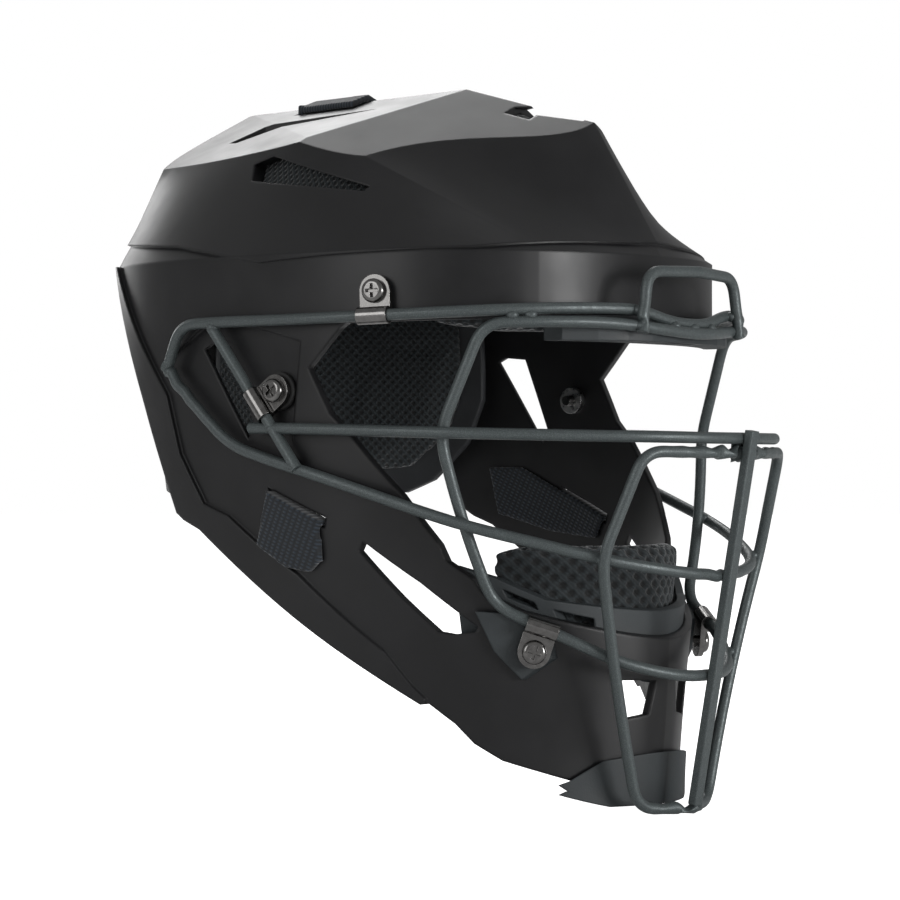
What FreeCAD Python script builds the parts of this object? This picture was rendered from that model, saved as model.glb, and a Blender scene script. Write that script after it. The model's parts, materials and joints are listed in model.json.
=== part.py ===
import FreeCAD, Part
import math
import os

# Catcher's helmet with a wire face cage.  Millimetres, +Z up, the face looks along -Y,
# the wearer's left is +X.  The origin is the middle of the head cavity at eye level.

V = FreeCAD.Vector
os.makedirs("parts", exist_ok=True)

# ---- driving sizes ---------------------------------------------------------------------
SHELL_HALF_WIDTH = 107.0      # half the outside width of the shell at the brow
SHELL_FRONT = 129.0           # brow to origin
SHELL_REAR = 129.0            # back of the head to origin
SHELL_WALL = 3.5              # moulded wall
RECESS_DEPTH = 1.5            # ear recess below the band surface
CROWN_STEP = 1.6              # how far the crown stands proud of the brow band
RIM_PROUD = 1.8               # raised bead along the rear edge
RIDGE_HEIGHT = 155.8          # top of the crown
FACET_BASE = 80.0             # height where the facets leave the brow band
WIRE = 4.76                   # cage wire, 3/16 inch
BAR_WIDTH = 5.6               # flat centre bar of the cage
BAR_DEPTH = 4.0
CLIP_WIDTH = 13.5
CLIP_SHEET = 1.2
SCREW_HEAD = 10.0
SCREW_SHANK = 4.8
PLATE_WALL = 3.0              # rear plate
STRAP_WIDTH = 25.4            # one inch elastic
STRAP_SHEET = 2.0

# plan of the brow band at each height: half width, front length and fullness, rear ditto
BAND = (
    (-150.0, -10.0, -2.0, 1.75, -21.0, 2.45),
    (-70.0, -4.0, 4.0, 1.77, -9.0, 2.45),
    (-20.0, -1.0, 3.0, 2.10, -2.0, 2.60),
    (45.0, 0.0, 0.0, 2.45, 0.0, 2.80),
    (80.0, 0.0, 0.0, 2.45, 0.0, 2.80),
)
CREASE_X = 64.0               # where the front facet meets the side facet on the band
CORNER_X = 66.0               # where the side facet meets the rear facet on the band
RUN_POINTS = 9                # points along each run of an outline
FACET_TOP = 150.0
FACET_LEAN = 0.6              # how far a facet leans in for each unit of height
FACET_MARK = 123.0            # height of the outline below
CROWN_FRONT = ((0.0, -103.6), (13.0, -97.0), (25.0, -83.5), (40.0, -63.5), (56.0, -44.5), (72.0, -27.0))
CROWN_SIDE = ((72.0, -27.0), (78.0, 3.0), (76.5, 25.0), (69.5, 62.0), (59.0, 97.0))
CROWN_REAR = ((59.0, 97.0), (42.0, 106.0), (22.0, 109.5), (0.0, 110.5))
# roof planes through the ridge: point, outward normal of the right-hand one
ROOF = (
    ((0.0, -27.0, 0.0), (-0.414, -0.243, 0.877)),
    ((0.0, -27.0, 0.0), (-0.318, 0.027, 0.948)),
    ((0.0, 94.4, -3.4), (-0.433, 0.130, 0.892)),
)


def superellipse(half, length, power, count, first, last):
    """Points of one quarter outline between two fractions of the quarter turn."""
    points = []
    for step in range(count):
        turn = (first + (last - first) * step / (count - 1)) * math.pi / 2
        x = half * math.sin(turn) ** (2 / power)
        y = length * math.cos(turn) ** (2 / power)
        points.append((x, y))
    return points


def turn_at(half, power, x):
    """Fraction of the quarter turn at which the outline is x from the middle."""
    return math.asin((x / half) ** (power / 2)) / (math.pi / 2)


def band_outline(level, grow):
    """Front, side and rear runs of one half of the band outline."""
    z, wide, front, front_power, rear, rear_power = level
    half = SHELL_HALF_WIDTH + wide + grow
    ahead = SHELL_FRONT + front + grow
    behind = SHELL_REAR + rear + grow
    crease = turn_at(half, front_power, CREASE_X)
    corner = turn_at(half, rear_power, CORNER_X)
    run1 = [(x, -y) for x, y in superellipse(half, ahead, front_power, 7, 0, crease)]
    run2 = [(x, -y) for x, y in superellipse(half, ahead, front_power, 5, crease, 1)]
    run2 += superellipse(half, behind, rear_power, 5, 1, corner)[1:]
    run3 = superellipse(half, behind, rear_power, 5, corner, 0)
    return [resample(run, RUN_POINTS) for run in (run1, run2, run3)]


def push_out(run, grow):
    """Move a run of plan points outward by grow, square to the run."""
    moved = []
    for index, point in enumerate(run):
        before = run[max(index - 1, 0)]
        after = run[min(index + 1, len(run) - 1)]
        dx = after[0] - before[0]
        dy = after[1] - before[1]
        size = math.hypot(dx, dy)
        moved.append((point[0] + dy / size * grow, point[1] - dx / size * grow))
    return moved


def crown_outline(grow):
    """The three runs of the crown outline at FACET_MARK."""
    whole = list(CROWN_FRONT) + list(CROWN_SIDE[1:]) + list(CROWN_REAR[1:])
    moved = push_out(whole, grow - CROWN_STEP)
    moved[0] = (0.0, moved[0][1])
    moved[-1] = (0.0, moved[-1][1])
    first = len(CROWN_FRONT)
    second = first + len(CROWN_SIDE) - 1
    return moved[:first], moved[first - 1:second], moved[second - 1:]


def smooth_edge(points, z):
    """Curve through the points, one unit of its parameter from each point to the next."""
    curve = Part.BSplineCurve()
    steps = [float(index) for index in range(len(points))]
    curve.interpolate(Points=[V(x, y, z) for x, y in points], Parameters=steps)
    return curve.toShape()


def outline_wire(runs, z):
    """Closed six-edge wire from the three runs of one half and their mirror images."""
    edges = [smooth_edge(run, z) for run in runs]
    for run in reversed(runs):
        edges.append(smooth_edge([(-x, y) for x, y in reversed(run)], z))
    return Part.Wire(edges)


def resample(run, count):
    """The same run as count points, evenly spaced along a smooth curve."""
    curve = Part.BSplineCurve()
    curve.interpolate([V(x, y, 0) for x, y in run])
    spots = curve.toShape().discretize(count)
    return [(p.x, p.y) for p in spots]


def shell_body(grow, drop):
    """Solid bounded by the shell surface moved outward by grow, its roof lowered by drop."""
    low = [outline_wire(band_outline(level, grow), level[0]) for level in BAND]
    body = Part.makeLoft(low, True, False)
    base = band_outline(BAND[-1], grow)
    rise = (FACET_TOP + 12 - FACET_BASE) / (FACET_MARK - FACET_BASE)
    top = []
    for run_low, run_mark in zip(base, crown_outline(grow - drop * FACET_LEAN)):
        pairs = zip(run_low, resample(run_mark, RUN_POINTS))
        top.append([(a[0] + (b[0] - a[0]) * rise, a[1] + (b[1] - a[1]) * rise)
                    for a, b in pairs])
    crown = Part.makeLoft([outline_wire(base, FACET_BASE),
                           outline_wire(top, FACET_TOP + 12)], True, True)
    body = body.fuse((crown,), 0.002)
    for (x, y, z), normal in ROOF:
        for side in (1, -1):
            spot = V(x * side, y, RIDGE_HEIGHT + z - drop)
            body = plane_cut(body, spot, V(normal[0] * side, normal[1], normal[2]))
    return body


def plane_cut(shape, point, normal):
    """Take away everything beyond a plane."""
    box = Part.makeBox(700, 700, 300, V(-350, -350, 0))
    box.Placement = FreeCAD.Placement(point, FreeCAD.Rotation(V(0, 0, 1), normal))
    return shape.cut(box)


def side_prism(points, x_from=-160.0, x_to=160.0):
    """Prism across the helmet from a list of (y, z) points."""
    corners = [V(x_from, y, z) for y, z in points]
    face = Part.Face(Part.makePolygon(corners + [corners[0]]))
    return face.extrude(V(x_to - x_from, 0, 0))



BOTTOM = -160.0
TOP = 220.0
AHEAD = -220.0
BEHIND = 220.0

# ---- shell outlines seen from the side, as (y, z) ----------------------------------------
REAR_EDGE = ((106, 91), (70.5, 21), (48.5, -27), (44, -30), (34, -34))
JAW_EDGE = ((-65, -105), (-67, -104.5), (-76, -113), (-82, -121), (-91, -128),
            (-103, -133), (-112, -137), (-128, -144))
RIM_LINE = ((-67, -103), (-62, -97), (-53, -83), (-44, -75), (-30, -62), (-19, -52),
            (0, -40), (17, -28), (31, -23), (45, -2), (53, 23), (73, 47), (106, 91))
STEP_LINE = ((-129, 87), (-125, 85), (-114, 84), (-93, 81), (-64, 80), (-37, 79),
             (-1, 77), (50, 86), (112, 91))
FACE_EDGE = ((-129, 55), (-100, 52), (-44, 51), (-41, 49), (-26, 33), (-36, 14), (-46, 4),
             (-59, -12), (-65, -19), (-77, -39), (-79, -46), (-87, -53), (-90, -59),
             (-100, -66), (-133, -79))
CHEEK_WINDOW = ((-48, -38), (-46, -42), (-61, -61), (-73, -75), (-78, -76), (-86, -75),
                (-87, -73), (-69, -55))
EAR_RECESS = ((59, 34), (31, 52), (5, 51), (-22, 44), (-16, -9), (17, 2))
EAR_VENT = ((32, 42), (28, 44), (17, 43), (4, 10), (7, 4))
STRAP_TAB = ((-6, -19), (-30, -30), (-31, -46), (-25, -51), (-14, -49), (0, -40))
STRAP_SLOT = ((-4, -16), (-5.5, -20.5), (-31.5, -33), (-32.5, -28.5))
STRAP_RUN = ((-5, -18), (-31, -30.5), (-27, -40), (0, -37), (30, -29), (36, -7), (18, -7))
STRAP_PASS = ((-5.6, -17.6), (-6.3, -20.0), (-30.8, -31.8), (-31.4, -29.6))
CROWN_VENT = ((27.5, 121.5), (17, 124.5), (-38, 108.5), (-37, 106.5), (13, 112.5), (24.5, 114))
CHIN_VENT = ((7, -96), (27, -95.5), (23, -112), (10, -110))      # (x, z)
BUMPER = ((-109, -138), (-113, -142), (-122, -146), (-150, -146), (-150, -124),
          (-131, -126), (-121, -128.5), (-112, -136.5))

made = {}


def body(grow, drop=0.0):
    """Shell body for one offset, made once."""
    key = (round(grow, 3), round(drop, 3))
    if key not in made:
        made[key] = shell_body(*key)
    return made[key]


def band(grow):
    """Only the brow, cheek and chin part of the shell body, up to FACET_BASE."""
    key = ("band", round(grow, 3))
    if key not in made:
        low = [outline_wire(band_outline(level, grow), level[0]) for level in BAND]
        made[key] = Part.makeLoft(low, True, False)
    return made[key]


def front_prism(points, y_from=AHEAD, y_to=BEHIND):
    """Prism along Y from a list of (x, z) points."""
    corners = [V(x, y_from, z) for x, z in points]
    face = Part.Face(Part.makePolygon(corners + [corners[0]]))
    return face.extrude(V(0, y_to - y_from, 0))


def plan_prism(points, z_from, z_to):
    """Prism along Z from a list of (x, y) points."""
    corners = [V(x, y, z_from) for x, y in points]
    face = Part.Face(Part.makePolygon(corners + [corners[0]]))
    return face.extrude(V(0, 0, z_to - z_from))


def block(x0, x1, y0, y1, z0, z1):
    return Part.makeBox(x1 - x0, y1 - y0, z1 - z0, V(x0, y0, z0))


def mirrored(shape):
    return shape.mirror(V(0, 0, 0), V(1, 0, 0))


def mirror_points(points):
    return [(-x, y) for x, y in points]


def one_solid(shape):
    """The largest solid of a result, with leftover seams taken out."""
    solids = sorted(shape.Solids, key=lambda item: item.Volume)
    return solids[-1].removeSplitter()


def save(name, shape):
    shape.exportStep("parts/" + name + ".step")
    print(name, len(shape.Solids), shape.isValid(), round(shape.Volume))


# ---- main shell ------------------------------------------------------------------------
def keep_region():
    top = [(BEHIND, 91), (BEHIND, TOP), (AHEAD, TOP), (AHEAD, -150), (-128, -150)]
    edge = list(reversed(JAW_EDGE)) + list(reversed(REAR_EDGE))
    return side_prism(top + edge)


def face_region():
    return side_prism([(AHEAD, 55)] + list(FACE_EDGE) + [(AHEAD, -80)])


def crown_cap():
    """The proud crown above the step line."""
    region = [(AHEAD, 87)] + list(STEP_LINE) + [(BEHIND, 91), (BEHIND, TOP), (AHEAD, TOP)]
    return body(CROWN_STEP, -1.2).common(side_prism(region))


def rear_rim():
    """Raised bead along the rear and lower edge."""
    outline = list(REAR_EDGE) + [JAW_EDGE[0]] + list(RIM_LINE)
    return band(RIM_PROUD).common(side_prism(outline))


def brow_notch():
    """Scoop in the front of the ridge, with the vent at its back."""
    scoop = side_prism([(-62, 146.6), (-69, 142.6), (-90, 139), (-96, 200), (-58, 200)],
                       -17, 17)
    hole = block(-11, 11, -69, -56, 120, 146.5)
    return scoop, hole


def roof_vent():
    """Long thin slots in the top facets beside the ridge."""
    left = plan_prism([(-30, 62), (-43, 72), (-46, 66), (-22, 5)], 100, 200)
    return left.fuse(mirrored(left))


def main_shell():
    solid = body(0.0).fuse(crown_cap())
    solid = solid.fuse(rear_rim())
    solid = solid.cut(body(-SHELL_WALL, 3.2))
    solid = solid.common(keep_region())
    solid = solid.cut(face_region())
    solid = solid.cut(side_prism(CHEEK_WINDOW))
    solid = solid.cut(side_prism(EAR_VENT))
    solid = solid.cut(side_prism(STRAP_SLOT))
    solid = solid.cut(side_prism(CROWN_VENT))
    recess = side_prism(EAR_RECESS).cut(band(-RECESS_DEPTH))
    solid = solid.cut(recess)
    for points in (CHIN_VENT, mirror_points(CHIN_VENT)):
        solid = solid.cut(front_prism(points, AHEAD, -90))
    scoop, hole = brow_notch()
    solid = solid.cut(scoop)
    solid = solid.cut(hole)
    solid = solid.cut(roof_vent())
    return one_solid(solid)




# ---- cage wires ------------------------------------------------------------------------
# centre lines of the near half, as runs of points; a run is smooth, runs meet in a bend
TOP_RAIL = (
    ((-107.8, 50.5, 33.0), (-110.4, 40.5, 52.0)),
    ((-110.4, 40.5, 52.0), (-112.0, 22.0, 52.6), (-112.0, 0.0, 52.7), (-110.6, -30.0, 52.9),
     (-107.1, -52.1, 53.4), (-103.0, -71.7, 53.8), (-90.0, -103.0, 54.9), (-67.6, -124.0, 56.0),
     (-48.0, -134.4, 56.4), (-32.5, -139.8, 56.4)),
    ((-32.5, -139.8, 56.4), (-12.5, -143.2, 51.6)),
    ((-12.5, -143.2, 51.6), (0.0, -143.6, 51.4)),
)
SIDE_WIRE = (
    ((0.0, -146.4, 47.4), (-20.0, -144.9, 48.3), (-41.0, -139.2, 50.0), (-68.6, -124.8, 50.6),
     (-89.0, -103.0, 50.0)),
    ((-89.0, -103.0, 50.0), (-95.6, -86.0, 6.0)),
    ((-95.6, -86.0, 6.0), (-86.0, -90.7, -30.0), (-71.0, -95.0, -64.0)),
    ((-71.0, -95.0, -64.0), (-62.0, -108.5, -71.5), (-54.0, -120.5, -78.0),
     (-42.3, -132.6, -85.4), (-26.0, -144.5, -91.2), (0.0, -150.8, -93.5)),
)
NOSE_BAR = (
    ((-111.4, 0.5, 8.4), (-110.6, -25.3, 7.9), (-107.4, -50.0, 7.2), (-100.2, -87.9, 6.0),
     (-83.0, -118.0, 5.2), (-62.0, -142.0, 4.6), (-40.0, -159.0, 4.2), (-18.0, -167.0, 4.0),
     (0.0, -168.8, 4.0)),
)
CHEEK_BAR = (
    ((-108.3, 48.7, 32.2), (-110.6, 27.0, 13.8), (-111.2, 12.0, 1.6)),
    ((-111.2, 12.0, 1.6), (-110.7, -15.5, -6.5), (-109.9, -26.3, -9.4), (-99.6, -68.4, -22.8),
     (-90.0, -93.3, -31.0), (-73.0, -117.5, -38.4), (-55.3, -136.3, -44.6),
     (-35.0, -150.0, -48.9), (-16.0, -156.7, -51.3), (0.0, -158.1, -52.0)),
)
LOWER_FRAME = (
    ((0.0, -168.1, -2.2), (-25.0, -164.8, -1.9), (-50.5, -155.0, -1.5)),
    ((-50.5, -155.0, -1.5), (-58.6, -139.9, -44.5)),
    ((-58.6, -139.9, -44.5), (-45.6, -136.2, -85.2), (-26.0, -134.5, -147.8)),
    ((-26.0, -134.5, -147.8), (0.0, -144.6, -148.6)),
)
BROW_LOOP = (
    ((-36.5, -144.2, 47.0), (-31.6, -143.8, 71.8)),
    ((-31.6, -143.8, 71.8), (0.0, -147.4, 73.0)),
)
DROP_BAR = (
    ((-112.0, 21.6, 50.6), (-111.6, -24.6, -8.6)),
)
BEND = 9.0
CENTER_TOP = (0.0, -173.7, 7.0)
CENTER_BOTTOM = (0.0, -145.6, -147.0)


def run_points(run, spacing=4.0):
    """Evenly spaced points along a smooth run."""
    if len(run) == 2:
        return [V(*run[0]), V(*run[1])]
    curve = Part.BSplineCurve()
    curve.interpolate([V(*p) for p in run])
    edge = curve.toShape()
    return edge.discretize(max(4, int(edge.Length / spacing)))


def trim_run(points, length, from_start):
    """Shorten a run by a length at one end."""
    line = Part.makePolygon(points)
    total = line.Length
    spots = line.discretize(Distance=max(total / 200, 0.5))
    keep = []
    gone = 0.0
    order = list(spots) if from_start else list(reversed(spots))
    last = order[0]
    for spot in order:
        gone += (spot - last).Length
        last = spot
        if gone >= length:
            keep.append(spot)
    return keep if from_start else list(reversed(keep))


def thin_out(points, spacing):
    """Keep both ends and points at least spacing apart."""
    kept = [points[0]]
    for point in points[1:-1]:
        if (point - kept[-1]).Length >= spacing and (point - points[-1]).Length > spacing * 0.6:
            kept.append(point)
    kept.append(points[-1])
    return kept


def bent_path(runs, bend=BEND):
    """One smooth edge through the runs, with each meeting corner bent round."""
    pieces = [run_points(run) for run in runs]
    for index in range(len(pieces) - 1):
        pieces[index] = trim_run(pieces[index], bend, False)
        pieces[index + 1] = trim_run(pieces[index + 1], bend, True)
    path = thin_out(pieces[0], 5.0)
    for index in range(1, len(pieces)):
        corner = V(*runs[index][0])
        start = path[-1]
        end = pieces[index][0]
        for step in (0.2, 0.4, 0.6, 0.8):
            path.append(start * (1 - step) ** 2 + corner * (2 * step * (1 - step))
                        + end * step ** 2)
        path += thin_out(pieces[index], 5.0)
    return path


def carried_frames(path, first_ahead, last_ahead):
    """Direction and two square axes at every point, carried along without twist."""
    curve = Part.BSplineCurve()
    curve.interpolate(path)
    frames = []
    side = None
    for index, point in enumerate(path):
        ahead = V(curve.tangent(curve.parameter(point))[0])
        if index == 0 and first_ahead:
            ahead = V(*first_ahead)
        if index == len(path) - 1 and last_ahead:
            ahead = V(*last_ahead)
        ahead.normalize()
        if side is None:
            side = ahead.cross(V(0.3, 0.5, 0.8))
        side = side - ahead * side.dot(ahead)
        side.normalize()
        frames.append((point, side, ahead.cross(side)))
    return frames


def tube(path, radius=WIRE / 2, first_ahead=None, last_ahead=None):
    """Round wire along a list of points."""
    rings = []
    for point, side, other in carried_frames(path, first_ahead, last_ahead):
        right = point + side * radius
        left = point - side * radius
        over = Part.Arc(right, point + other * radius, left).toShape()
        under = Part.Arc(left, point - other * radius, right).toShape()
        rings.append(Part.Wire([over, under]))
    return Part.makeLoft(rings, True, False)


def joined_halves(half):
    """One solid from half a wire and its mirror image, without the faces between."""
    faces = half.Faces + mirrored(half).Faces
    outside = [f for f in faces if abs(f.CenterOfMass.x) > 1e-4 or f.Area > 2 * WIRE ** 2]
    skin = Part.makeShell(outside)
    skin.sewShape()
    solid = Part.makeSolid(skin.Shells[0])
    if solid.Volume < 0:
        solid.reverse()
    return solid


def open_wire(runs, bend=BEND):
    """Wire whose last point is on the mirror plane, with its mirror image."""
    return joined_halves(tube(bent_path(runs, bend), WIRE / 2, None, (1, 0, 0)))


def closed_wire(runs):
    """Ring of wire that crosses the mirror plane square to it, twice."""
    return joined_halves(tube(bent_path(runs), WIRE / 2, (-1, 0, 0), (1, 0, 0)))


def center_bar():
    """Flat bar down the middle of the cage, standing in front of the wires."""
    top = V(*CENTER_TOP)
    bottom = V(*CENTER_BOTTOM)
    along = (bottom - top).normalize()
    bar = Part.makeBox(BAR_WIDTH, BAR_DEPTH, (bottom - top).Length,
                       V(-BAR_WIDTH / 2, -BAR_DEPTH / 2, 0))
    edges = [e for e in bar.Edges if abs(e.tangentAt(e.FirstParameter).z) > 0.9]
    bar = bar.makeFillet(0.8, edges)
    bar.Placement = FreeCAD.Placement(top, FreeCAD.Rotation(V(0, 0, 1), along))
    return bar



# ---- clips and screws ------------------------------------------------------------------
# each: wire centre, direction of the wire, screw point on the shell, stand-off of the tab
TOP_CLIP = ((-105.5, -60.0, 53.5), (0.23, -0.972, 0.03), (-101.2, -59.4, 63.6))
SIDE_CLIP = ((-111.9, -3.9, 17.9), (0.002, -0.615, -0.788), (-105.7, -11.2, 23.6))
CHIN_CLIP = ((-60.2, -111.3, -73.2), (0.62, -0.72, -0.31), (-59.7, -100.6, -81.6))
NUT_RADIUS = 6.0
NUT_DEPTH = 3.0


def wall_normal(point):
    """Outward direction of the shell wall near a point, square to the wall in plan."""
    levels = [level for level in BAND if level[0] <= point.z]
    level = levels[-1]
    wide, ahead, power = level[1], level[2], level[3]
    if point.y > 0:
        ahead, power = level[4], level[5]
    half = SHELL_HALF_WIDTH + wide
    length = SHELL_FRONT + ahead
    x_part = abs(point.x / half) ** (power - 1) / half
    y_part = abs(point.y / length) ** (power - 1) / length
    normal = V(math.copysign(x_part, point.x), math.copysign(y_part, point.y), 0)
    return normal.normalize()


def clip_frame(data):
    """Wire centre, wire direction, way to the screw and outward direction of one clip."""
    centre = V(*data[0])
    along = V(*data[1]).normalize()
    outward = wall_normal(V(*data[2]))
    outward = (outward - along * outward.dot(along)).normalize()
    across_way = along.cross(outward)
    if across_way.dot(V(*data[2]) - centre) < 0:
        across_way = across_way * -1
    return centre, along, across_way, outward


def local_axes(data):
    """Clip frame as centre and right-handed axes: to the screw, outward, along the wire."""
    centre, along, way, outward = clip_frame(data)
    if way.cross(outward).dot(along) < 0:
        along = along * -1
    return centre, way, outward, along


def placed(shape, centre, x_axis, y_axis, z_axis):
    """Move a shape drawn in local axes to its place."""
    matrix = FreeCAD.Matrix(x_axis.x, y_axis.x, z_axis.x, centre.x,
                            x_axis.y, y_axis.y, z_axis.y, centre.y,
                            x_axis.z, y_axis.z, z_axis.z, centre.z,
                            0, 0, 0, 1)
    copy = shape.copy()
    copy.transformShape(matrix)
    return copy


def clip_reach(data):
    """Distance from wire centre to the screw, along the tab, and tab height."""
    centre, along, way, outward = clip_frame(data)
    offset = V(*data[2]) - centre
    return offset.dot(way), offset.dot(outward)


def clip_solid(data):
    """Bent sheet clip: loops over the wire and ends in a round tab under the screw."""
    reach, floor = clip_reach(data)
    bore = WIRE / 2 + 0.05
    skin = bore + CLIP_SHEET
    half = CLIP_WIDTH / 2
    loop = Part.makeCylinder(skin, CLIP_WIDTH, V(0, 0, -half))
    tab_low = -skin
    tab = Part.makeBox(reach, 2 * CLIP_SHEET, CLIP_WIDTH, V(0, tab_low, -half))
    end = Part.makeCylinder(half, 2 * CLIP_SHEET, V(reach, tab_low, 0), V(0, 1, 0))
    body_ = loop.fuse(tab).fuse(end).removeSplitter()
    body_ = body_.cut(Part.makeCylinder(bore, CLIP_WIDTH + 2, V(0, 0, -half - 1)))
    hole = Part.makeCylinder(SCREW_SHANK / 2 + 0.2, 40, V(reach, -20, 0), V(0, 1, 0))
    body_ = body_.cut(hole)
    return placed(body_, *local_axes(data))


def pan_screw(data):
    """Pan-head cross-recess screw through tab, shell and nut."""
    reach, floor = clip_reach(data)
    depth = SHELL_WALL + NUT_DEPTH + 1.6 - floor
    skin = WIRE / 2 + 0.05 + CLIP_SHEET
    seat = -skin + 2 * CLIP_SHEET + 0.05
    head = Part.makeCylinder(SCREW_HEAD / 2, 2.9, V(reach, seat, 0), V(0, 1, 0))
    rim = [e for e in head.Edges if e.BoundBox.YMin > seat + 2]
    head = head.makeFillet(1.9, rim)
    for wide, deep in ((1.3, 5.6), (5.6, 1.3)):
        slot = Part.makeBox(wide, 3, deep, V(reach - wide / 2, seat + 1.3, -deep / 2))
        head = head.cut(slot)
    shank = Part.makeCylinder(SCREW_SHANK / 2, depth, V(reach, seat + 0.5, 0), V(0, -1, 0))
    screw = head.fuse(shank).removeSplitter()
    return placed(screw, *local_axes(data))


def wall_nut(data, gap):
    """Round flange nut whose face is gap inside the screw point on the wall."""
    reach, floor = clip_reach(data)
    ring = Part.makeCylinder(NUT_RADIUS, NUT_DEPTH, V(reach, floor - gap, 0), V(0, -1, 0))
    bore = Part.makeCylinder(SCREW_SHANK / 2 + 0.1, 80, V(reach, -40, 0), V(0, 1, 0))
    return placed(ring.cut(bore), *local_axes(data))


def screw_bore(data, radius):
    """Straight hole along the screw, clear through the wall."""
    reach, floor = clip_reach(data)
    hole = Part.makeCylinder(radius, 40, V(reach, -25, 0), V(0, 1, 0))
    return placed(hole, *local_axes(data))


def bush(data, radius):
    """Rubber bush between the wall and the clip tab."""
    reach, floor = clip_reach(data)
    top = -WIRE / 2 - 0.05 - CLIP_SHEET - 0.1
    ring = Part.makeCylinder(radius, top - floor - 0.15, V(reach, floor + 0.15, 0), V(0, 1, 0))
    bore = Part.makeCylinder(SCREW_SHANK / 2 + 0.2, 80, V(reach, -40, 0), V(0, 1, 0))
    return placed(ring.cut(bore), *local_axes(data))


def pair(shape):
    return Part.makeCompound([shape, mirrored(shape)])


# ---- rear plate ------------------------------------------------------------------------
# outline of the plate at each height: z, half width, length behind the origin
PLATE_LEVELS = ((-40, 92, 111), (0, 96, 116), (50, 97, 117), (80, 91, 111), (110, 74, 98))
PLATE_POWER = 2.3
PLATE_EDGE = ((62, 103), (130, 103), (130, -13), (80, -19), (68, -19), (56, -13), (41, 4),
              (34, 24), (34, 60), (46, 90))
PLATE_PAD_EDGE = ((66, 96), (130, 96), (130, -6), (80, -12), (70, -12), (60, -7), (46, 8),
                  (40, 26), (40, 58), (51, 86))
HINGE = (0.0, 103.0, 100.0)   # middle of the bend at the top edge, axis across the head
PAD_THICK = 9.0


def plate_body(grow):
    """Solid inside the outer face of the rear plate, moved outward by grow."""
    wires = []
    for z, half, length in PLATE_LEVELS:
        run = superellipse(half + grow, length + grow, PLATE_POWER, 13, 1, 0)
        ahead = [(x, -y) for x, y in superellipse(half + grow, 60 + grow, 2.3, 9, 0, 1)]
        edges = [smooth_edge(ahead, z), smooth_edge(run, z)]
        edges.append(smooth_edge([(-x, y) for x, y in reversed(run)], z))
        edges.append(smooth_edge([(-x, y) for x, y in reversed(ahead)], z))
        wires.append(Part.Wire(edges))
    return Part.makeLoft(wires, True, False)


def plate_shells():
    """The moulded plate and the pad behind it."""
    plate = plate_body(0).cut(plate_body(-PLATE_WALL)).common(side_prism(PLATE_EDGE))
    pad = plate_body(-PLATE_WALL - 0.3).cut(plate_body(-PLATE_WALL - PAD_THICK))
    pad = pad.common(side_prism(PLATE_PAD_EDGE))
    return one_solid(plate), one_solid(pad)


def plate_rivet(y, z):
    """Domed rivet that holds the elastic on the side of the plate."""
    stem = Part.makeCylinder(4.0, 40, V(-60, y, z), V(-1, 0, 0))
    return stem.common(plate_body(1.6)).cut(plate_body(0.08))


# ---- pads and trim ---------------------------------------------------------------------
CROWN_PAD_EDGE = ((-112, 99), (52, 99), (52, 112), (92, 124), (120, 150), (120, 200),
                  (-112, 200))
BROW_PAD_EDGE = ((-140, 43.5), (-78, 47), (-66, 57), (-66, 84), (-140, 84))
CHIN_PAD_EDGE = ((-84, -43), (-93, -38), (-140, -38), (-140, -78), (-102, -78), (-86, -70))
CARRIER_EDGE = ((-79, -48), (-92, -53), (-106, -62), (-140, -70), (-140, -98), (-100, -95),
                (-79, -76))
CARRIER_SLOTS = (((-94, -57.5), (-103, -63), (-104, -66.5), (-95, -61)),
                 ((-108, -66), (-118, -70), (-118, -74), (-109, -70.5)))
CLIP_PAD_EDGE = ((-88.5, -66.5), (-93, -83), (-100.5, -94.5), (-110, -86), (-109, -73),
                 (-100, -67.5))
LIP_FRONT = ((0, -143.2), (14, -142.4), (24, -141.2), (36, -137.2), (48, -130.5), (60, -121))


def crown_pad():
    hollow = body(-SHELL_WALL - 6.0, 7.0).translated(V(0, 0, -7.0))
    pad = body(-SHELL_WALL - 0.6, 3.9).cut(hollow)
    pad = pad.common(side_prism(CROWN_PAD_EDGE))
    pad = pad.cut(block(-15, 15, 52, 130, 90, 200))
    return one_solid(pad)


def brow_pad():
    pad = band(-SHELL_WALL - 0.5).cut(band(-SHELL_WALL - 12.0))
    return one_solid(pad.common(side_prism(BROW_PAD_EDGE)))


def chin_pad():
    pad = band(-SHELL_WALL - 4.8).cut(band(-SHELL_WALL - 22.0))
    return one_solid(pad.common(side_prism(CHIN_PAD_EDGE)))


def chin_carrier():
    carrier = band(-SHELL_WALL - 0.4).cut(band(-SHELL_WALL - 4.4))
    carrier = carrier.common(side_prism(CARRIER_EDGE))
    for points in CARRIER_SLOTS:
        carrier = carrier.cut(side_prism(points))
    for points in (CHIN_VENT, mirror_points(CHIN_VENT)):
        carrier = carrier.cut(front_prism(points, AHEAD, -90))
    bore = screw_bore(CHIN_CLIP, NUT_RADIUS + 1.2)
    return one_solid(carrier.cut(bore).cut(mirrored(bore)))


def brow_lip():
    """Soft bumper between the brow and the front of the cage."""
    front = list(LIP_FRONT) + [(60, -60), (-60, -60)]
    front += [(-x, y) for x, y in reversed(LIP_FRONT[1:])]
    slab = plan_prism(front, 43.5, 49.6)
    upper = band(1.4).common(side_prism(((-150, 49.6), (-150, 54.6), (-129, 54.6),
                                         (-112, 52.9), (-112, 49.6))))
    lip = slab.fuse(upper).cut(band(-SHELL_WALL - 0.3))
    lip = lip.common(block(-60, 60, -160, -112, 40, 60))
    hole = Part.makeCylinder(3.0, 20, V(-7, -137, 38)).fuse(
        Part.makeCylinder(3.0, 20, V(7, -137, 38))).fuse(block(-7, 7, -140, -134, 38, 58))
    return one_solid(lip.cut(hole))


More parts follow.
